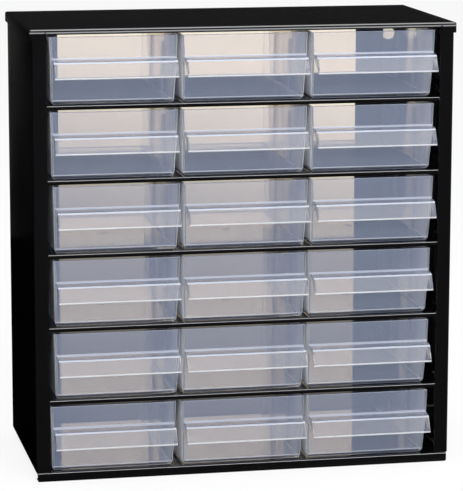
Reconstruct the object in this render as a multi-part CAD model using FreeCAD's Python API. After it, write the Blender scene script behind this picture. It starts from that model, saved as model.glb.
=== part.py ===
"""Parts bin cabinet: a sheet-steel casing with five shelves and rows of clear pull-out drawers.

Millimetres, +Z up, front towards -Y. The origin lies on the floor, at the middle of the whole object's
width and depth, handles included. Every piece is first drawn with y = 0 at the front of the lid, and is
moved to the origin when it is written out.
"""

import FreeCAD
import Part

import math
import os

# Casing, overall
lid_width = 306.0
casing_depth = 141.7
casing_height = 322.3
sheet = 0.9
bend_radius = 0.7
fit_gap = 0.3
overrun = 2.0

# Lid
lid_gap = 0.7
lid_skirt = 7.0
lid_tab_width = 10.4
lid_tab_drop = 7.5
lid_lip_drop = 1.7
lid_groove_width = 0.5
lid_groove_depth = 0.5
lid_hem_drop = 3.9
lid_hem_thickness = 1.9
lid_hem_radius = 0.5

# Side panels
front_flange = 10.0
back_flange = 37.0
top_flange = 10.0
side_foot_gap = 0.7
wall_hole_radius = 4.75
wall_hole_inset = 10.0
wall_hole_drop = 21.4

# Shelves and bottom panel
leg_height = 6.3
foot_return = 8.0
rail_corner = 1.6
shelf_lip = 2.8
shelf_side_flange = 8.0
shelf_rear_lip = 1.9

# Rows and columns of drawers
row_count = 6
column_count = 3
drawer_lift = 0.3
drawer_top_gap = 1.6
drawer_setback = 1.0
side_play = 11.6
# The part of a row's side play that lies to the left of each of its drawers, from the bottom row up
side_play_shares = (
    (0.04, 0.36, 0.49),
    (0.30, 0.40, 0.49),
    (0.30, 0.43, 0.53),
    (0.32, 0.50, 0.66),
    (0.19, 0.42, 0.64),
    (0.19, 0.42, 0.64),
)

# Drawer
drawer_wall = 1.6
drawer_side_draft = 1.6
drawer_back_draft = 1.0
drawer_toe = 7.2
drawer_low_radius = 3.0
drawer_end_radius = 1.2
drawer_end_inner_radius = 0.4
rim_radius = 0.4
rib_height = 1.5
rib_width = 1.2
rib_slot = 1.8
rib_top_gap = 9.0
rib_depth_shares = (0.333, 0.667)
gate_radius = 2.6
gate_height = 0.3

# Drawer handle
handle_inset = 1.8
handle_reach = 15.0
handle_sheet = 1.6
handle_end_radius = 0.5
handle_lip_z = 19.7
handle_brow_y = -9.6
handle_brow_z = 31.2
handle_root_z = 32.6
handle_bend_radius = 0.6
handle_web_thickness = 1.2

side_outer = lid_width / 2 - sheet - lid_gap
side_inner = side_outer - sheet
side_front = sheet + fit_gap
side_back = casing_depth - sheet - fit_gap
side_floor = leg_height + side_foot_gap
lid_underside = casing_height - sheet
row_pitch = (casing_height - lid_hem_drop - leg_height + shelf_lip) / row_count
opening_half = side_outer - front_flange
shelf_end = opening_half - fit_gap
shelf_back = side_back - sheet - fit_gap
drawer_width = (2 * opening_half - side_play) / column_count
drawer_height = row_pitch - shelf_lip - drawer_lift - drawer_top_gap
drawer_back = shelf_back - sheet - fit_gap
drawer_depth = drawer_back - drawer_setback
frame_shift = -(casing_depth - handle_reach) / 2


def vector(x, y, z):
    return FreeCAD.Vector(x, y, z)


def box(x0, x1, y0, y1, z0, z1):
    """A block between two corners."""
    return Part.makeBox(x1 - x0, y1 - y0, z1 - z0, vector(x0, y0, z0))


def outline(points, radii):
    """A closed flat face through the points, each corner rounded by its own radius."""
    edges = []
    stops = []
    count = len(points)
    for i, corner in enumerate(points):
        before = points[i - 1]
        after = points[(i + 1) % count]
        radius = radii[i]
        if radius <= 0:
            stops.append((corner, None, corner))
            continue
        towards_before = (before - corner).normalize()
        towards_after = (after - corner).normalize()
        half = towards_before.getAngle(towards_after) / 2
        reach = radius / math.tan(half)
        middle = (towards_before + towards_after).normalize()
        crown = corner + middle * (radius / math.sin(half) - radius)
        stops.append((corner + towards_before * reach, crown, corner + towards_after * reach))
    for i, (start, crown, end) in enumerate(stops):
        if crown is not None:
            edges.append(Part.Arc(start, crown, end).toShape())
        following = stops[(i + 1) % count][0]
        if (following - end).Length > Part.Precision.confusion():
            edges.append(Part.LineSegment(end, following).toShape())
    return Part.Face(Part.Wire(edges))


def bent_strip(path, thickness, inside, normal):
    """The flat section of a sheet bent along a path; the sheet's thickness lies on the path's left."""
    left = []
    count = len(path)
    for i, point in enumerate(path):
        into = path[i] - path[i - 1] if i > 0 else path[1] - path[0]
        out = path[i + 1] - path[i] if i < count - 1 else into
        side_in = normal.cross(into).normalize()
        side_out = normal.cross(out).normalize()
        middle = (side_in + side_out).normalize()
        left.append(point + middle * (thickness / middle.dot(side_in)))
    right_radii = [0.0]
    left_radii = [0.0]
    for i in range(1, count - 1):
        turn = (path[i] - path[i - 1]).cross(path[i + 1] - path[i]).dot(normal)
        right_radii.append(inside + thickness if turn > 0 else inside)
        left_radii.append(inside if turn > 0 else inside + thickness)
    right_radii.append(0.0)
    left_radii.append(0.0)
    return outline(list(path) + left[::-1], right_radii + left_radii[::-1])


def along_x(face, x0, x1):
    """A flat YZ face drawn at x = 0, stretched from x0 to x1."""
    solid = face.extrude(vector(x1 - x0, 0, 0))
    solid.translate(vector(x0, 0, 0))
    return solid


def mirrored(shape):
    """The same shape on the other side of the middle plane."""
    return shape.mirror(vector(0, 0, 0), vector(1, 0, 0))


def joined(first, *others):
    """One clean solid out of touching ones."""
    return first.fuse(list(others)).removeSplitter()


def lid():
    """A pan turned down on all sides, with a low hemmed front edge between two corner tabs."""
    half = lid_width / 2
    skirt = max(lid_skirt, lid_tab_drop)
    top = casing_height
    outer_radius = bend_radius + sheet
    under = top - skirt - overrun
    pan = box(-half, half, 0, casing_depth, top - skirt, top)
    rounded = [e for e in pan.Edges if e.BoundBox.ZMax > top - fit_gap]
    pan = pan.makeFillet(outer_radius, rounded)
    hollow = box(-half + sheet, half - sheet, sheet, casing_depth - sheet, under, top - sheet)
    upper = [e for e in hollow.Edges if e.BoundBox.ZMin > top - sheet - fit_gap]
    pan = pan.cut(hollow.makeFillet(bend_radius, upper))
    skirt_floor = top - lid_skirt
    beyond = half + overrun
    trim = box(-beyond, beyond, outer_radius, casing_depth + overrun, under, skirt_floor)
    inner_tab = half - lid_tab_width
    middle = box(-inner_tab, inner_tab, -overrun, outer_radius, under, top - lid_lip_drop)
    pan = pan.cut([trim, middle])
    groove_floor = top - lid_lip_drop - lid_groove_width
    hem = outline(
        [
            vector(0, lid_groove_depth, top - sheet),
            vector(0, lid_hem_thickness, top - sheet),
            vector(0, lid_hem_thickness, top - lid_hem_drop),
            vector(0, 0, top - lid_hem_drop),
            vector(0, 0, groove_floor),
            vector(0, lid_groove_depth, groove_floor),
        ],
        [0.0, 0.0, lid_hem_radius, lid_hem_radius, lid_hem_radius / 2, 0.0],
    )
    return joined(pan, along_x(hem, -shelf_end, shelf_end))


def right_side():
    """The right side panel: one sheet turned in along its front, back and top edges."""
    section = bent_strip(
        [
            vector(opening_half, side_front, 0),
            vector(side_outer, side_front, 0),
            vector(side_outer, side_back, 0),
            vector(side_outer - back_flange, side_back, 0),
        ],
        sheet,
        bend_radius,
        vector(0, 0, 1),
    )
    panel = section.extrude(vector(0, 0, lid_underside - side_floor))
    panel.translate(vector(0, 0, side_floor))
    middle = side_outer - sheet / 2
    front = side_front + sheet
    back = side_back - sheet
    ledge = box(side_inner - top_flange, middle, front, back, lid_underside - sheet, lid_underside)
    hole = Part.makeCylinder(
        wall_hole_radius,
        sheet + 2 * overrun,
        vector(side_outer - wall_hole_inset, side_back - sheet - overrun, casing_height - wall_hole_drop),
        vector(0, 1, 0),
    )
    return joined(panel, ledge).cut(hole)


def shelf_sides(surface):
    """The strips of a shelf that reach behind the front flanges, turned up against the side panels."""
    front = side_front + sheet + fit_gap
    section = bent_strip(
        [
            vector(shelf_end - overrun, 0, surface - sheet),
            vector(side_inner, 0, surface - sheet),
            vector(side_inner, 0, surface + shelf_side_flange),
        ],
        sheet,
        bend_radius,
        vector(0, -1, 0),
    )
    strip = section.extrude(vector(0, shelf_back - front, 0))
    strip.translate(vector(0, front, 0))
    return strip, mirrored(strip)


def shelf(surface):
    """A shelf whose front edge is turned down between the side flanges and whose back edge is turned up."""
    section = bent_strip(
        [
            vector(0, side_front, surface - shelf_lip),
            vector(0, side_front, surface),
            vector(0, shelf_back - sheet, surface),
            vector(0, shelf_back - sheet, surface + shelf_rear_lip),
        ],
        -sheet,
        bend_radius,
        vector(1, 0, 0),
    )
    return joined(along_x(section, -shelf_end, shelf_end), *shelf_sides(surface))


def bottom_panel():
    """The lowest shelf, standing on the floor on a front and a back rail, each with a turned-in foot."""
    foot = vector(0, side_front + foot_return, 0)
    low = vector(0, side_front, 0)
    high = vector(0, side_front, leg_height)
    section = bent_strip(
        [
            foot,
            low,
            high,
            vector(0, shelf_back, leg_height),
            vector(0, shelf_back, 0),
            vector(0, shelf_back - foot_return, 0),
        ],
        -sheet,
        bend_radius,
        vector(1, 0, 0),
    )
    inside = vector(0, side_front + foot_return, leg_height)
    rail_section = bent_strip([foot, low, high, inside], -sheet, bend_radius, vector(1, 0, 0))
    rail = along_x(rail_section, -side_inner, side_inner)
    front_view = outline(
        [
            vector(-side_inner, 0, 0),
            vector(side_inner, 0, 0),
            vector(side_inner, 0, leg_height),
            vector(-side_inner, 0, leg_height),
        ],
        [rail_corner, rail_corner, 0.0, 0.0],
    )
    rail = rail.common(front_view.extrude(vector(0, casing_depth, 0)))
    return joined(along_x(section, -shelf_end, shelf_end), rail, *shelf_sides(leg_height))


def tub(inset, extra_height, end_radius):
    """A drawer's body as a block with drafted walls, each wall moved in by the inset, and rounded corners."""
    top_half = drawer_width / 2 - inset
    low_half = top_half - drawer_side_draft
    front = drawer_setback + inset
    toe = drawer_toe + inset
    back = drawer_back - inset
    top = drawer_height + extra_height
    side_view = outline(
        [
            vector(0, toe, inset),
            vector(0, back - drawer_back_draft, inset),
            vector(0, back, top),
            vector(0, front, top),
            vector(0, front, handle_root_z - inset),
        ],
        [0.0] * 5,
    )
    front_view = outline(
        [
            vector(-low_half, 0, inset),
            vector(low_half, 0, inset),
            vector(top_half, 0, top),
            vector(-top_half, 0, top),
        ],
        [drawer_low_radius - inset, drawer_low_radius - inset, 0.0, 0.0],
    )
    block = along_x(side_view, -drawer_width, drawer_width)
    block = block.common(front_view.extrude(vector(0, drawer_back + overrun, 0)))
    rounded = []
    for edge in block.Edges:
        reach = edge.BoundBox
        runs_back = reach.YLength > drawer_depth / 2
        lies_high = reach.ZMin > handle_root_z and reach.ZLength < fit_gap
        if not runs_back and not lies_high and reach.XLength < 2 * low_half:
            rounded.append(edge)
    return block.makeFillet(end_radius, rounded)


def rim_rounded(tray):
    """The same tray with its top edges softened."""
    rim = [e for e in tray.Edges if e.BoundBox.ZMin > drawer_height - fit_gap]
    return tray.makeFillet(rim_radius, rim)


def divider_ribs():
    """Pairs of upright ribs on both side walls, for dividers to slide between."""
    low = drawer_wall / 2
    high = drawer_height - rib_top_gap
    ring = tub(drawer_wall / 2, overrun, drawer_end_inner_radius)
    ring = ring.cut(tub(drawer_wall + rib_height, 2 * overrun, drawer_end_inner_radius))
    flank = drawer_width / 2 - drawer_wall - drawer_side_draft - rib_height - fit_gap
    edge = drawer_width / 2
    ribs = []
    for share in rib_depth_shares:
        for face in (-1, 1):
            y = drawer_setback + share * drawer_depth + face * (rib_slot + rib_width) / 2
            for x0, x1 in ((-edge, -flank), (flank, edge)):
                slab = box(x0, x1, y - rib_width / 2, y + rib_width / 2, low, high)
                ribs.append(ring.common(slab))
    return ribs


def handle():
    """A ledge that slopes down and forward from the front wall, and a lip that leans out from its edge."""
    half_sheet = handle_sheet / 2
    root = vector(0, drawer_setback + drawer_wall / 2, handle_root_z)
    brow = vector(0, handle_brow_y, handle_brow_z)
    tip = vector(0, half_sheet - handle_reach, handle_lip_z + half_sheet)
    slant = tip - brow
    turn = -math.degrees(math.asin(half_sheet / slant.Length))
    lean = FreeCAD.Rotation(vector(1, 0, 0), turn).multVec(slant).normalize()
    lip = brow + lean * (math.sqrt(slant.Length**2 - half_sheet**2) + half_sheet)
    section = bent_strip([root, brow, lip], handle_sheet, handle_bend_radius, vector(1, 0, 0))
    half = drawer_width / 2 - handle_inset
    bar = along_x(section, -half, half)
    end = [e for e in bar.Edges if e.BoundBox.XLength > half and e.BoundBox.ZMax < tip.z + half_sheet]
    bar = bar.makeFillet(handle_end_radius, end)
    down = vector(0, 0, -half_sheet)
    web = outline([root + down, brow + down, tip], [0.0] * 3)
    webs = [
        along_x(web, -half, -half + handle_web_thickness),
        along_x(web, half - handle_web_thickness, half),
    ]
    return bar, webs


def drawer():
    """One drawer at x = 0, standing on z = 0."""
    hollow = tub(drawer_wall, overrun, drawer_end_inner_radius)
    tray = rim_rounded(tub(0, 0, drawer_end_radius).cut(hollow))
    bar, webs = handle()
    gate = Part.makeCylinder(
        gate_radius,
        drawer_wall / 2 + gate_height,
        vector(0, drawer_setback + drawer_depth / 2, drawer_wall / 2),
    )
    return joined(tray, bar, *webs, *divider_ribs(), gate)


def write(shape, node):
    """Moves a finished piece to the origin and writes it out under its name."""
    placed = shape.copy()
    placed.translate(vector(0, frame_shift, 0))
    placed.exportStep(os.path.join("parts", node + ".step"))


def main():
    os.makedirs("parts", exist_ok=True)
    write(lid(), "lid")
    panel = right_side()
    write(panel, "right_side")
    write(mirrored(panel), "left_side")
    write(bottom_panel(), "bottom_panel")
    for level in range(1, row_count):
        write(shelf(leg_height + level * row_pitch), f"shelf_{level}")
    one = drawer()
    for row in range(row_count):
        for column in range(column_count):
            copy = one.copy()
            left = side_play_shares[row][column] * side_play + column * drawer_width - opening_half
            copy.translate(vector(left + drawer_width / 2, 0, leg_height + row * row_pitch + drawer_lift))
            write(copy, f"drawer_{row + 1}_{column + 1}")


main()
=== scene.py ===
"""The looks of the parts bin cabinet: black painted steel, clear moulded drawers, and a plain pale studio."""

import math

import bmesh
import bpy
from mathutils import Matrix, Vector


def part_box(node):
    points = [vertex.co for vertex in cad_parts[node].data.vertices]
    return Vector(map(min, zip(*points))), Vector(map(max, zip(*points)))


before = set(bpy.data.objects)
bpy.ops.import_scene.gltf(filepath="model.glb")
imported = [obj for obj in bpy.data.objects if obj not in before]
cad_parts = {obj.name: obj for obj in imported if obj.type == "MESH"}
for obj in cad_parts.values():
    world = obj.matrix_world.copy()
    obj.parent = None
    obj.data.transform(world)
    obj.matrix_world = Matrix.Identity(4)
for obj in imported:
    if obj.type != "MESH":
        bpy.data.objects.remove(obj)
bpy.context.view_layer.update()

bl_info = {
    "name": "Parts bin cabinet",
    "version": (1, 0, 0),
    "blender": (4, 5, 0),
    "location": "3D View > Sidebar > Cabinet",
    "description": "Paints the steel casing, finishes the clear drawers and sets up the studio",
    "category": "Object",
}

CASING_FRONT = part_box("lid")[0][1]
LID_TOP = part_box("lid")[1][2]
DRAWER_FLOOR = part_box("drawer_1_1")[0][2]
ROW_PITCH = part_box("drawer_2_1")[0][2] - DRAWER_FLOOR
DRAWERS = sorted(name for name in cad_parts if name.startswith("drawer_"))
CASING = sorted(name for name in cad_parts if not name.startswith("drawer_"))

# The camera's place in metres and its turns in degrees
CAMERA_PLACE = (-0.38158, -1.85884, 0.50125)
CAMERA_TURN, CAMERA_TIP, CAMERA_ROLL = -11.674, 10.347, 0.098
CAMERA_LENS = 192.65

# Zones of a drawer in metres, each as low, high and the soft distance outside them:
# heights go up from a drawer's floor, depths go back from the casing's front
# The lip, brow, root and toe zones are painted highlight lines
LIP_HEIGHT, LIP_DEPTH = (0.0190, 0.0203, 0.0003), (-0.02, -0.0115, 0.0005)
BROW_HEIGHT, BROW_DEPTH = (0.0301, 0.0310, 0.0002), (-0.0112, -0.0092, 0.0003)
ROOT_HEIGHT, ROOT_DEPTH = (0.0322, 0.0330, 0.0003), (-0.003, 0.0015, 0.0004)
TOE_HEIGHT, TOE_DEPTH = (0.0025, 0.0031, 0.0003), (0.0, 0.0092, 0.0004)
# Painted shade: the foot zone is made less milky, so the rounded bottom front shows darker
FOOT_HEIGHT, FOOT_DEPTH = (-0.001, 0.0022, 0.0004), (0.0, 0.0100, 0.0004)
HANDLE_DEPTH = (-1.0, -0.0004, 0.0006)
INSIDE_DEPTH = (0.0030, 0.1335, 0.0006)
BACK_DEPTH = (0.1341, 1.0, 0.0006)
# Where the painted highlight on the side walls' front ends stops and where it has faded
SIDE_END, SIDE_FADED = 0.016, 0.055

# The painted highlight line along the fold of the lid's front, and how much weaker the painted bend highlights are
# on the lid than on the shelves
FOLD_HEIGHT = (LID_TOP - 0.0028, LID_TOP - 0.0021, 0.0002)
FOLD_DEPTH = (-1.0, CASING_FRONT + 0.0012, 0.0002)
LID_HIGHLIGHT_SHARE = 0.42


class CabinetLook(bpy.types.PropertyGroup):
    """Sizes and colours of the finishes and of the studio."""

    paint_colour: bpy.props.FloatVectorProperty(
        name="Paint", description="Colour of the painted steel",
        subtype="COLOR", default=(0.0026, 0.0023, 0.0029), min=0, max=1,
    )
    # Painted highlight: the light grey painted along the front bends and the lid's fold
    bend_highlight_colour: bpy.props.FloatVectorProperty(
        name="Painted highlight", description="Colour painted on the front bends as a highlight",
        subtype="COLOR", default=(0.34, 0.34, 0.35), min=0, max=1,
    )
    paint_roughness: bpy.props.FloatProperty(
        name="Paint roughness", description="How far the paint's shine is spread", default=0.06, min=0, max=1
    )
    paint_texture: bpy.props.FloatProperty(
        name="Paint texture", description="Size of the fine ripples in the paint",
        default=0.0016, unit="LENGTH",
    )
    plastic_colour: bpy.props.FloatVectorProperty(
        name="Plastic", description="Tint of light that has come through the plastic", subtype="COLOR",
        default=(0.99, 0.91, 0.79), min=0, max=1,
    )
    milk_colour: bpy.props.FloatVectorProperty(
        name="Milk", description="Colour of the faint milkiness in the plastic", subtype="COLOR",
        default=(0.61, 0.71, 0.99), min=0, max=1,
    )
    front_milkiness: bpy.props.FloatProperty(
        name="Front milkiness", description="Share of the light that each face of a front wall scatters",
        default=0.16, min=0, max=1,
    )
    handle_milkiness: bpy.props.FloatProperty(
        name="Handle milkiness", description="Share of the light that each face of a handle scatters",
        default=0.078, min=0, max=1,
    )
    # Painted highlight: the side walls' front ends are made very milky and whiter, standing in for the light bands
    # there
    side_highlight_milkiness: bpy.props.FloatProperty(
        name="Side milkiness", description="Share of the light that the front end of a side wall scatters",
        default=0.85, min=0, max=1,
    )
    back_milkiness: bpy.props.FloatProperty(
        name="Back milkiness", description="Share of the light that a back wall scatters, and near it a side wall",
        default=0.125, min=0, max=1,
    )
    # Painted highlight: the milky share painted on the drawers' edges
    edge_highlight_milkiness: bpy.props.FloatProperty(
        name="Edge milkiness", description="Share of the light that the handles' and fronts' edges scatter",
        default=0.75, min=0, max=1,
    )
    plastic_roughness: bpy.props.FloatProperty(
        name="Plastic roughness", description="How far the plastic's shine is spread",
        default=0.02, min=0, max=1,
    )
    plastic_wave: bpy.props.FloatProperty(
        name="Moulding waves", description="Distance between the faint waves in the moulded walls",
        default=0.018, unit="LENGTH",
    )
    floor_colour: bpy.props.FloatVectorProperty(
        name="Floor", description="Colour of the floor",
        subtype="COLOR", default=(0.90, 0.90, 0.90), min=0, max=1,
    )
    card_colour: bpy.props.FloatVectorProperty(
        name="Card", description="Colour of the low card that stands behind the cabinet and shows in it",
        subtype="COLOR", default=(1.0, 0.975, 0.925), min=0, max=1,
    )
    card_strength: bpy.props.FloatProperty(
        name="Card strength", description="How brightly the card shows through the drawers",
        default=1.45, min=0,
    )
    card_distance: bpy.props.FloatProperty(
        name="Card distance", description="Distance from the cabinet's middle to the card",
        default=0.926, unit="LENGTH",
    )
    card_width: bpy.props.FloatProperty(
        name="Card width", description="Width of the card", default=1.30, unit="LENGTH"
    )
    card_start: bpy.props.FloatProperty(
        name="Card start", description="Place of the card's left edge", default=-0.24, unit="LENGTH"
    )
    card_height: bpy.props.FloatProperty(
        name="Card height", description="Height of the card's upper edge", default=0.356, unit="LENGTH"
    )


def new_material(name):
    """A material with only its output left."""
    material = bpy.data.materials.new(name)
    material.use_nodes = True
    tree = material.node_tree
    tree.nodes.clear()
    output = tree.nodes.new("ShaderNodeOutputMaterial")
    return material, tree, output


def add(tree, kind, **values):
    """A node with its settings and its inputs given by name, spaces written as underscores."""
    node = tree.nodes.new(kind)
    for key, value in values.items():
        label = key.replace("_", " ")
        if label in node.inputs:
            node.inputs[label].default_value = value
        else:
            setattr(node, key, value)
    return node


def dress(names, material):
    """Gives the named nodes of the frame the material."""
    for name in names:
        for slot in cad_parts[name].material_slots:
            slot.material = material


def combine(tree, operation, first, second):
    """The two values put through a maths operation; the second may be a plain number."""
    node = add(tree, "ShaderNodeMath", operation=operation)
    tree.links.new(first, node.inputs[0])
    if isinstance(second, float):
        node.inputs[1].default_value = second
    else:
        tree.links.new(second, node.inputs[1])
    return node.outputs["Value"]


def spread(tree, value, low, high, start=0.0, end=1.0, **kind):
    """Runs from start to end as the value goes from low to high, and stays there past them."""
    node = add(
        tree, "ShaderNodeMapRange", From_Min=low, From_Max=high, To_Min=start, To_Max=end, **kind
    )
    tree.links.new(value, node.inputs["Value"])
    return node.outputs["Result"]


def parts_of(tree, vector):
    """The X, Y and Z of a vector."""
    node = add(tree, "ShaderNodeSeparateXYZ")
    tree.links.new(vector, node.inputs["Vector"])
    return node.outputs["X"], node.outputs["Y"], node.outputs["Z"]


def band(tree, value, low, high, soft):
    """One where the value lies between low and high, falling to nought over the soft distance."""
    rise = spread(tree, value, low - soft, low)
    return combine(tree, "MULTIPLY", rise, spread(tree, value, high, high + soft, 1.0, 0.0))


def painted_bend_highlights(tree, place, normal):
    """One on the bends of the front edges, where a highlight is painted lighter into the paint's colour; less on
    the lid's, which has a painted highlight line more.
    """
    _, depth, height = parts_of(tree, place)
    _, forward, upward = parts_of(tree, normal)
    bends = combine(
        tree, "MULTIPLY", spread(tree, upward, 0.35, 0.55), spread(tree, forward, -0.35, -0.55)
    )
    less = spread(tree, height, LID_TOP - 0.008, LID_TOP - 0.006, 1.0, LID_HIGHLIGHT_SHARE)
    bends = combine(tree, "MULTIPLY", bends, less)
    fold = combine(
        tree, "MULTIPLY", band(tree, height, *FOLD_HEIGHT), band(tree, depth, *FOLD_DEPTH)
    )
    return combine(tree, "MAXIMUM", bends, combine(tree, "MULTIPLY", fold, 0.9))


def painted_steel(look):
    """Black paint on sheet steel, with a fine ripple, dust-fine changes in its shine, and highlights painted
    lighter along its front bends.
    """
    material, tree, output = new_material("black_painted_steel")
    link = tree.links.new
    place = add(tree, "ShaderNodeTexCoord")
    paint = add(tree, "ShaderNodeBsdfPrincipled", Metallic=0.0, IOR=1.8, Specular_IOR_Level=0.9)
    ripple = add(tree, "ShaderNodeTexNoise", Scale=1 / look.paint_texture, Detail=3.0, Roughness=0.5)
    cloud = add(tree, "ShaderNodeTexNoise", Scale=14.0, Detail=5.0, Roughness=0.6)
    tone = add(tree, "ShaderNodeMapRange", From_Min=0.3, From_Max=0.7, To_Min=0.85, To_Max=1.15)
    shade = add(tree, "ShaderNodeMix", data_type="RGBA", blend_type="MULTIPLY")
    shade.inputs[0].default_value = 1.0
    shade.inputs[6].default_value = (*look.paint_colour, 1.0)
    shine = add(
        tree, "ShaderNodeMapRange", From_Min=0.3, From_Max=0.7,
        To_Min=look.paint_roughness * 0.9, To_Max=look.paint_roughness * 1.15,
    )
    bump = add(tree, "ShaderNodeBump", Strength=0.03, Distance=look.paint_texture / 20)
    link(place.outputs["Object"], ripple.inputs["Vector"])
    link(place.outputs["Object"], cloud.inputs["Vector"])
    link(cloud.outputs["Fac"], tone.inputs["Value"])
    link(cloud.outputs["Fac"], shine.inputs["Value"])
    link(tone.outputs["Result"], shade.inputs[7])
    # Painted highlight: the paint's colour is mixed towards light grey on the front bends and the lid's fold
    painted_highlight = add(tree, "ShaderNodeMix", data_type="RGBA")
    painted_highlight.inputs[7].default_value = (*look.bend_highlight_colour, 1.0)
    link(painted_bend_highlights(tree, place.outputs["Object"], place.outputs["Normal"]), painted_highlight.inputs[0])
    link(shade.outputs[2], painted_highlight.inputs[6])
    link(painted_highlight.outputs[2], paint.inputs["Base Color"])
    link(shine.outputs["Result"], paint.inputs["Roughness"])
    link(ripple.outputs["Fac"], bump.inputs["Height"])
    link(bump.outputs["Normal"], paint.inputs["Normal"])
    link(paint.outputs["BSDF"], output.inputs["Surface"])
    return material


def rounding(tree, facing):
    """One on rounded edges and corners, nought on the flat faces of a drawer."""
    across, along, up = facing
    most = combine(tree, "MAXIMUM", combine(tree, "MAXIMUM", across, along), up)
    return spread(tree, most, 0.80, 0.87, 1.0, 0.0)


def painted_edge_highlights(tree, behind, height, facing, handle):
    """Painted highlights: the thin edges that would catch the light (the handle's lip, brow and root, the toe and
    the bends) are given a milkier share instead of being lit.
    """
    bends = combine(tree, "MULTIPLY", rounding(tree, facing), 0.7)
    plate = combine(tree, "MULTIPLY", bends, combine(tree, "MULTIPLY", handle, 0.7))
    edge = combine(tree, "SUBTRACT", bends, plate)
    for heights, depths, share in (
        (LIP_HEIGHT, LIP_DEPTH, 1.0),
        (BROW_HEIGHT, BROW_DEPTH, 0.7),
        (ROOT_HEIGHT, ROOT_DEPTH, 0.6),
        (TOE_HEIGHT, TOE_DEPTH, 0.6),
    ):
        line = combine(tree, "MULTIPLY", band(tree, height, *heights), band(tree, behind, *depths))
        edge = combine(tree, "MAXIMUM", edge, combine(tree, "MULTIPLY", line, share))
    return edge


def milk_shares(tree, look, place, normal):
    """How milky the plastic is at each place of a drawer, with painted highlights as milkier edges and side-wall
    front ends, and where that milkiness is painted whitest as a highlight.
    """
    size = add(tree, "ShaderNodeVectorMath", operation="ABSOLUTE")
    tree.links.new(normal, size.inputs[0])
    facing = parts_of(tree, size.outputs["Vector"])
    _, depth, level = parts_of(tree, place)
    behind = combine(tree, "SUBTRACT", depth, CASING_FRONT)
    level = combine(tree, "SUBTRACT", level, DRAWER_FLOOR)
    height = combine(tree, "FLOORED_MODULO", level, ROW_PITCH)
    handle = band(tree, behind, *HANDLE_DEPTH)
    wall = combine(tree, "MULTIPLY", band(tree, behind, *INSIDE_DEPTH), spread(tree, facing[0], 0.5, 0.8))
    # Painted highlight: the front end of each side wall, fading towards the back
    side = combine(tree, "MULTIPLY", wall, spread(tree, behind, SIDE_END, SIDE_FADED, 1.0, 0.0))
    back = combine(tree, "MAXIMUM", band(tree, behind, *BACK_DEPTH), wall)
    foot = combine(
        tree, "MULTIPLY", band(tree, height, *FOOT_HEIGHT), band(tree, behind, *FOOT_DEPTH)
    )
    edge = painted_edge_highlights(tree, behind, height, facing, handle)
    share = combine(tree, "MULTIPLY", handle, look.handle_milkiness - look.front_milkiness)
    share = combine(tree, "ADD", share, look.front_milkiness)
    for zone, change in (
        (side, look.side_highlight_milkiness - look.back_milkiness),
        (back, look.back_milkiness - look.front_milkiness),
        # Painted shade: the foot loses most of its milkiness
        (foot, -0.8 * look.front_milkiness),
        (wall, -0.04),
    ):
        share = combine(tree, "ADD", share, combine(tree, "MULTIPLY", zone, change))
    # Painted highlights: the edges get at least the edge share of milk
    share = combine(tree, "MAXIMUM", share, combine(tree, "MULTIPLY", edge, look.edge_highlight_milkiness))
    return share, combine(tree, "MAXIMUM", edge, side)


def clear_plastic(look):
    """Clear, slightly milky moulded plastic that lets lamplight through its walls."""
    material, tree, output = new_material("clear_moulded_plastic")
    link = tree.links.new
    place = add(tree, "ShaderNodeTexCoord")
    plastic = add(tree, "ShaderNodeBsdfPrincipled", Metallic=0.0, IOR=1.49, Transmission_Weight=1.0)
    wave = add(tree, "ShaderNodeTexNoise", Scale=1 / look.plastic_wave, Detail=1.0, Roughness=0.4)
    cloud = add(tree, "ShaderNodeTexNoise", Scale=30.0, Detail=4.0, Roughness=0.6)
    shine = add(
        tree, "ShaderNodeMapRange", From_Min=0.3, From_Max=0.7,
        To_Min=look.plastic_roughness * 0.8, To_Max=look.plastic_roughness * 1.3,
    )
    tone = add(tree, "ShaderNodeMapRange", From_Min=0.3, From_Max=0.7, To_Min=0.985, To_Max=1.0)
    tint = add(tree, "ShaderNodeMix", data_type="RGBA", blend_type="MULTIPLY")
    tint.inputs[0].default_value = 1.0
    tint.inputs[6].default_value = (*look.plastic_colour, 1.0)
    bump = add(tree, "ShaderNodeBump", Strength=0.02, Distance=0.0003)
    link(place.outputs["Object"], wave.inputs["Vector"])
    link(place.outputs["Object"], cloud.inputs["Vector"])
    link(cloud.outputs["Fac"], shine.inputs["Value"])
    link(cloud.outputs["Fac"], tone.inputs["Value"])
    link(tone.outputs["Result"], tint.inputs[7])
    link(tint.outputs[2], plastic.inputs["Base Color"])
    link(shine.outputs["Result"], plastic.inputs["Roughness"])
    link(wave.outputs["Fac"], bump.inputs["Height"])
    link(bump.outputs["Normal"], plastic.inputs["Normal"])
    milk = add(tree, "ShaderNodeBsdfDiffuse")
    share, white = milk_shares(tree, look, place.outputs["Object"], place.outputs["Normal"])
    # Painted highlights: the milk is turned near-white on the edges and on the side walls' front ends
    highlight_whitening = add(tree, "ShaderNodeMix", data_type="RGBA")
    highlight_whitening.inputs[6].default_value = (*look.milk_colour, 1.0)
    highlight_whitening.inputs[7].default_value = (0.93, 0.94, 0.97, 1.0)
    cloudy = add(tree, "ShaderNodeMixShader")
    link(white, highlight_whitening.inputs[0])
    link(highlight_whitening.outputs[2], milk.inputs["Color"])
    link(share, cloudy.inputs[0])
    link(plastic.outputs["BSDF"], cloudy.inputs[1])
    link(milk.outputs["BSDF"], cloudy.inputs[2])
    path = add(tree, "ShaderNodeLightPath")
    through = add(tree, "ShaderNodeBsdfTransparent", Color=(0.84, 0.86, 0.88, 1.0))
    mix = add(tree, "ShaderNodeMixShader")
    link(path.outputs["Is Shadow Ray"], mix.inputs[0])
    link(cloudy.outputs["Shader"], mix.inputs[1])
    link(through.outputs["BSDF"], mix.inputs[2])
    link(mix.outputs["Shader"], output.inputs["Surface"])
    return material


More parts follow.
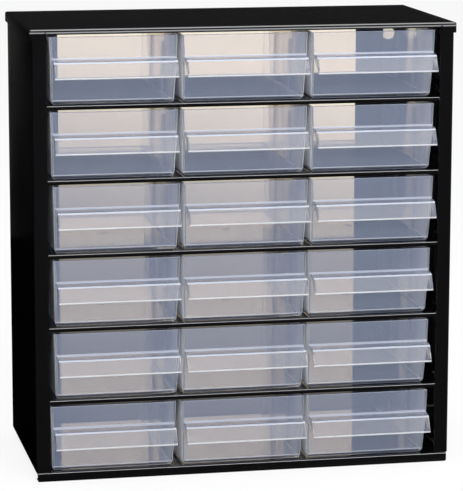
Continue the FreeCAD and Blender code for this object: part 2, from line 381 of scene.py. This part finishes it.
def seen_in_gloss(tree):
    """The light path, and one for light that is mirrored by, or comes through, something shiny or clear."""
    path = add(tree, "ShaderNodeLightPath")
    return path, combine(tree, "MAXIMUM", path.outputs["Is Glossy Ray"], path.outputs["Is Transmission Ray"])


def seen_through(tree, path):
    """One for light that has come through the plastic and was mirrored nowhere on its way."""
    straight = combine(tree, "LESS_THAN", path.outputs["Glossy Depth"], 0.5)
    return combine(tree, "MULTIPLY", path.outputs["Is Transmission Ray"], straight)


def floor_glow_with_painted_shadow(tree, look, path, place):
    """The floor in gloss and through plastic glows, with a painted shadow: dim near the cabinet and past its left
    side, brighter behind it, pale further off.
    """
    link = tree.links.new
    across, depth, _ = parts_of(tree, place)
    away = add(tree, "ShaderNodeVectorMath", operation="DOT_PRODUCT")
    away.inputs[1].default_value = (0.9, 1.0, 0.0)
    link(place, away.inputs[0])
    # Painted shadow: the glow is dim near the cabinet and past its left side, brighter further behind
    rear_with_painted_shadow = combine(
        tree, "MULTIPLY", spread(tree, away.outputs["Value"], -0.1, 1.2, 0.03, 0.40),
        spread(tree, across, -0.15, -0.05, interpolation_type="SMOOTHSTEP"),
    )
    behind = spread(tree, depth, -0.08, -0.04)
    around = combine(
        tree, "MAXIMUM", spread(tree, across, -0.20, -0.35), spread(tree, across, 0.50, 0.70)
    )
    around = combine(tree, "MAXIMUM", around, spread(tree, depth, -0.09, -0.11))
    around = combine(tree, "MULTIPLY", combine(tree, "MULTIPLY", around, seen_through(tree, path)), 0.80)
    glow = add(tree, "ShaderNodeMix", data_type="FLOAT")
    hue = add(tree, "ShaderNodeMix", data_type="RGBA")
    hue.inputs[6].default_value = (1.0, 1.0, 1.0, 1.0)
    hue.inputs[7].default_value = (*look.card_colour, 1.0)
    shine = add(tree, "ShaderNodeEmission")
    link(behind, glow.inputs[0])
    link(spread(tree, depth, -2.5, -0.1, 0.03, 0.02), glow.inputs[2])
    link(rear_with_painted_shadow, glow.inputs[3])
    link(behind, hue.inputs[0])
    link(combine(tree, "MAXIMUM", glow.outputs[0], around), shine.inputs["Strength"])
    link(hue.outputs[2], shine.inputs["Color"])
    return shine.outputs["Emission"]


def floor_material(look):
    """A pale floor: white to the camera but for its shadow; where the cabinet mirrors it or shows it through
    plastic, it glows with a painted shadow, dim near the cabinet.
    """
    material, tree, output = new_material("pale_floor")
    link = tree.links.new
    path, gloss = seen_in_gloss(tree)
    place = add(tree, "ShaderNodeTexCoord")
    grain = add(tree, "ShaderNodeTexNoise", Scale=60.0, Detail=3.0)
    link(place.outputs["Object"], grain.inputs["Vector"])
    bounce = combine(
        tree, "MULTIPLY", spread(tree, grain.outputs["Fac"], 0.3, 0.7, 0.99, 1.0),
        spread(tree, path.outputs["Is Camera Ray"], 0.0, 1.0, 0.45, 1.0),
    )
    colour = add(tree, "ShaderNodeMix", data_type="RGBA", blend_type="MULTIPLY")
    colour.inputs[0].default_value = 1.0
    colour.inputs[6].default_value = (*look.floor_colour, 1.0)
    matt = add(tree, "ShaderNodeBsdfDiffuse")
    white = add(tree, "ShaderNodeEmission", Color=(1.0, 1.0, 1.0, 1.0), Strength=1.0)
    pale = add(tree, "ShaderNodeMixShader")
    both = add(tree, "ShaderNodeMixShader")
    link(bounce, colour.inputs[7])
    link(colour.outputs[2], matt.inputs["Color"])
    link(combine(tree, "MULTIPLY", path.outputs["Is Camera Ray"], 0.85), pale.inputs[0])
    link(matt.outputs["BSDF"], pale.inputs[1])
    link(white.outputs["Emission"], pale.inputs[2])
    link(gloss, both.inputs[0])
    link(pale.outputs["Shader"], both.inputs[1])
    link(floor_glow_with_painted_shadow(tree, look, path, place.outputs["Object"]), both.inputs[2])
    link(both.outputs["Shader"], output.inputs["Surface"])
    return material


def card_material(look):
    """The card shows only in gloss and through clear plastic, and is painted darker towards its foot, a painted
    shade where it stands on the floor.
    """
    material, tree, output = new_material("cream_card")
    link = tree.links.new
    _, gloss = seen_in_gloss(tree)
    place = add(tree, "ShaderNodeTexCoord")
    up = add(tree, "ShaderNodeVectorMath", operation="DOT_PRODUCT")
    up.inputs[1].default_value = (0.2, 0.0, 1.0)
    link(place.outputs["Object"], up.inputs[0])
    # Painted shade: the card's glow falls off towards its foot
    card_foot_shade = spread(tree, up.outputs["Value"], 0.0, 0.215, 0.26, 0.91 * look.card_strength)
    crest = spread(tree, up.outputs["Value"], 0.25, 0.34, 0.0, 0.05)
    glow = add(tree, "ShaderNodeEmission", Color=(*look.card_colour, 1.0))
    clear = add(tree, "ShaderNodeBsdfTransparent")
    mix = add(tree, "ShaderNodeMixShader")
    link(combine(tree, "ADD", card_foot_shade, crest), glow.inputs["Strength"])
    link(gloss, mix.inputs[0])
    link(clear.outputs["BSDF"], mix.inputs[1])
    link(glow.outputs["Emission"], mix.inputs[2])
    link(mix.outputs["Shader"], output.inputs["Surface"])
    return material


def make_object(name, bm, material):
    mesh = bpy.data.meshes.new(name)
    bm.to_mesh(mesh)
    bm.free()
    mesh.materials.append(material)
    thing = bpy.data.objects.new(name, mesh)
    bpy.context.scene.collection.objects.link(thing)
    return thing


def add_floor(look):
    bm = bmesh.new()
    bmesh.ops.create_grid(bm, x_segments=4, y_segments=4, size=6.0)
    make_object("floor", bm, floor_material(look))


def add_card(look):
    bm = bmesh.new()
    bmesh.ops.create_grid(bm, x_segments=1, y_segments=1, size=0.5)
    upright = Matrix.Rotation(math.radians(90), 4, "X")
    bmesh.ops.transform(bm, matrix=upright, verts=bm.verts)
    bmesh.ops.translate(bm, verts=bm.verts, vec=(0.5, 0, 0.5))
    bmesh.ops.scale(bm, verts=bm.verts, vec=(look.card_width, 1, look.card_height))
    bmesh.ops.translate(bm, verts=bm.verts, vec=(look.card_start, look.card_distance, 0))
    make_object("card", bm, card_material(look))


def add_lamp(name, place, target, width, height, power):
    """A soft box at a place, turned towards a target; it lights matt colour and isn't mirrored."""
    light = bpy.data.lights.new(name, "AREA")
    light.shape = "RECTANGLE"
    light.size = width
    light.size_y = height
    light.energy = power
    lamp = bpy.data.objects.new(name, light)
    lamp.location = place
    lamp.rotation_euler = (Vector(target) - Vector(place)).to_track_quat("-Z", "Y").to_euler()
    lamp.visible_glossy = False
    lamp.visible_transmission = False
    bpy.context.scene.collection.objects.link(lamp)


def add_world():
    """White behind the cabinet, soft light on it, and a room in its gloss that is dim but for its upper front."""
    world = bpy.data.worlds.new("studio")
    bpy.context.scene.world = world
    world.use_nodes = True
    tree = world.node_tree
    tree.nodes.clear()
    link = tree.links.new
    output = add(tree, "ShaderNodeOutputWorld")
    path, gloss = seen_in_gloss(tree)
    white = add(tree, "ShaderNodeBackground", Color=(1.0, 1.0, 1.0, 1.0), Strength=1.0)
    soft = add(tree, "ShaderNodeBackground", Color=(0.96, 0.98, 1.0, 1.0), Strength=0.62)
    room = add(tree, "ShaderNodeBackground", Color=(0.97, 0.98, 1.0, 1.0))
    place = add(tree, "ShaderNodeTexCoord")
    across, depth, height = parts_of(tree, place.outputs["Generated"])
    overhead = spread(tree, height, 0.72, 0.95, 0.015, 0.6)
    upper = spread(tree, height, 0.50, 0.80, 0.015, 2.2)
    aside = add(tree, "ShaderNodeMath", operation="ABSOLUTE")
    link(across, aside.inputs[0])
    narrow = spread(tree, aside.outputs["Value"], 0.35, 0.50, 1.0, 0.1)
    level = add(tree, "ShaderNodeMix", data_type="FLOAT")
    first = add(tree, "ShaderNodeMixShader")
    second = add(tree, "ShaderNodeMixShader")
    link(spread(tree, depth, -0.35, -0.05), level.inputs[0])
    link(combine(tree, "MULTIPLY", upper, narrow), level.inputs[2])
    link(overhead, level.inputs[3])
    plain = combine(tree, "MULTIPLY", seen_through(tree, path), 0.90)
    link(combine(tree, "MAXIMUM", level.outputs[0], plain), room.inputs["Strength"])
    link(gloss, first.inputs[0])
    link(soft.outputs["Background"], first.inputs[1])
    link(room.outputs["Background"], first.inputs[2])
    link(path.outputs["Is Camera Ray"], second.inputs[0])
    link(first.outputs["Shader"], second.inputs[1])
    link(white.outputs["Background"], second.inputs[2])
    link(second.outputs["Shader"], output.inputs["Surface"])


def add_camera():
    """The camera stands where the photograph was taken: to the left, above, and looking slightly down."""
    camera = bpy.data.cameras.new("camera")
    camera.lens = CAMERA_LENS
    camera.sensor_width = 36.0
    camera.clip_end = 50.0
    stand = bpy.data.objects.new("camera", camera)
    turn = Matrix.Rotation(math.radians(CAMERA_TURN), 4, "Z")
    tip = Matrix.Rotation(math.radians(90 - CAMERA_TIP), 4, "X")
    roll = Matrix.Rotation(math.radians(CAMERA_ROLL), 4, "Z")
    stand.matrix_world = Matrix.Translation(CAMERA_PLACE) @ turn @ tip @ roll
    bpy.context.scene.collection.objects.link(stand)
    bpy.context.scene.camera = stand


class CABINET_OT_paint_casing(bpy.types.Operator):
    """Paint the lid, the side panels, the bottom panel and the shelves"""

    bl_idname = "cabinet.paint_casing"
    bl_label = "Paint the casing"

    def execute(self, context):
        dress(CASING, painted_steel(context.scene.cabinet_look))
        return {"FINISHED"}


class CABINET_OT_finish_drawers(bpy.types.Operator):
    """Give the drawers their clear plastic"""

    bl_idname = "cabinet.finish_drawers"
    bl_label = "Finish the drawers"

    def execute(self, context):
        dress(DRAWERS, clear_plastic(context.scene.cabinet_look))
        return {"FINISHED"}


class CABINET_OT_set_stage(bpy.types.Operator):
    """Lay the floor, put up the card and the lamps, and place the camera"""

    bl_idname = "cabinet.set_stage"
    bl_label = "Set the stage"

    def execute(self, context):
        look = context.scene.cabinet_look
        add_floor(look)
        add_card(look)
        add_world()
        add_lamp(
            "front_lamp", place=(0.2, -1.70, 1.45), target=(0.0, -0.07, 0.15), width=1.6, height=1.2, power=33.0
        )
        add_lamp(
            "top_lamp", place=(-0.1, -0.1, 2.1), target=(0.0, 0.0, 0.1), width=1.4, height=1.8, power=16.0
        )
        add_camera()
        context.scene.view_settings.view_transform = "Standard"
        return {"FINISHED"}


class CABINET_PT_panel(bpy.types.Panel):
    """Lists the cabinet's finishes and the studio"""

    bl_idname = "CABINET_PT_panel"
    bl_label = "Parts bin cabinet"
    bl_space_type = "VIEW_3D"
    bl_region_type = "UI"
    bl_category = "Cabinet"

    def draw(self, context):
        look = context.scene.cabinet_look
        for name in CabinetLook.__annotations__:
            self.layout.prop(look, name)
        for operator in OPERATORS:
            self.layout.operator(operator.bl_idname)


OPERATORS = (CABINET_OT_paint_casing, CABINET_OT_finish_drawers, CABINET_OT_set_stage)
CLASSES = (CabinetLook, *OPERATORS, CABINET_PT_panel)


def register():
    for cls in CLASSES:
        bpy.utils.register_class(cls)
    bpy.types.Scene.cabinet_look = bpy.props.PointerProperty(type=CabinetLook)


def unregister():
    del bpy.types.Scene.cabinet_look
    for cls in reversed(CLASSES):
        bpy.utils.unregister_class(cls)


def main():
    register()
    bpy.ops.cabinet.paint_casing()
    bpy.ops.cabinet.finish_drawers()
    bpy.ops.cabinet.set_stage()


if __name__ == "__main__":
    main()
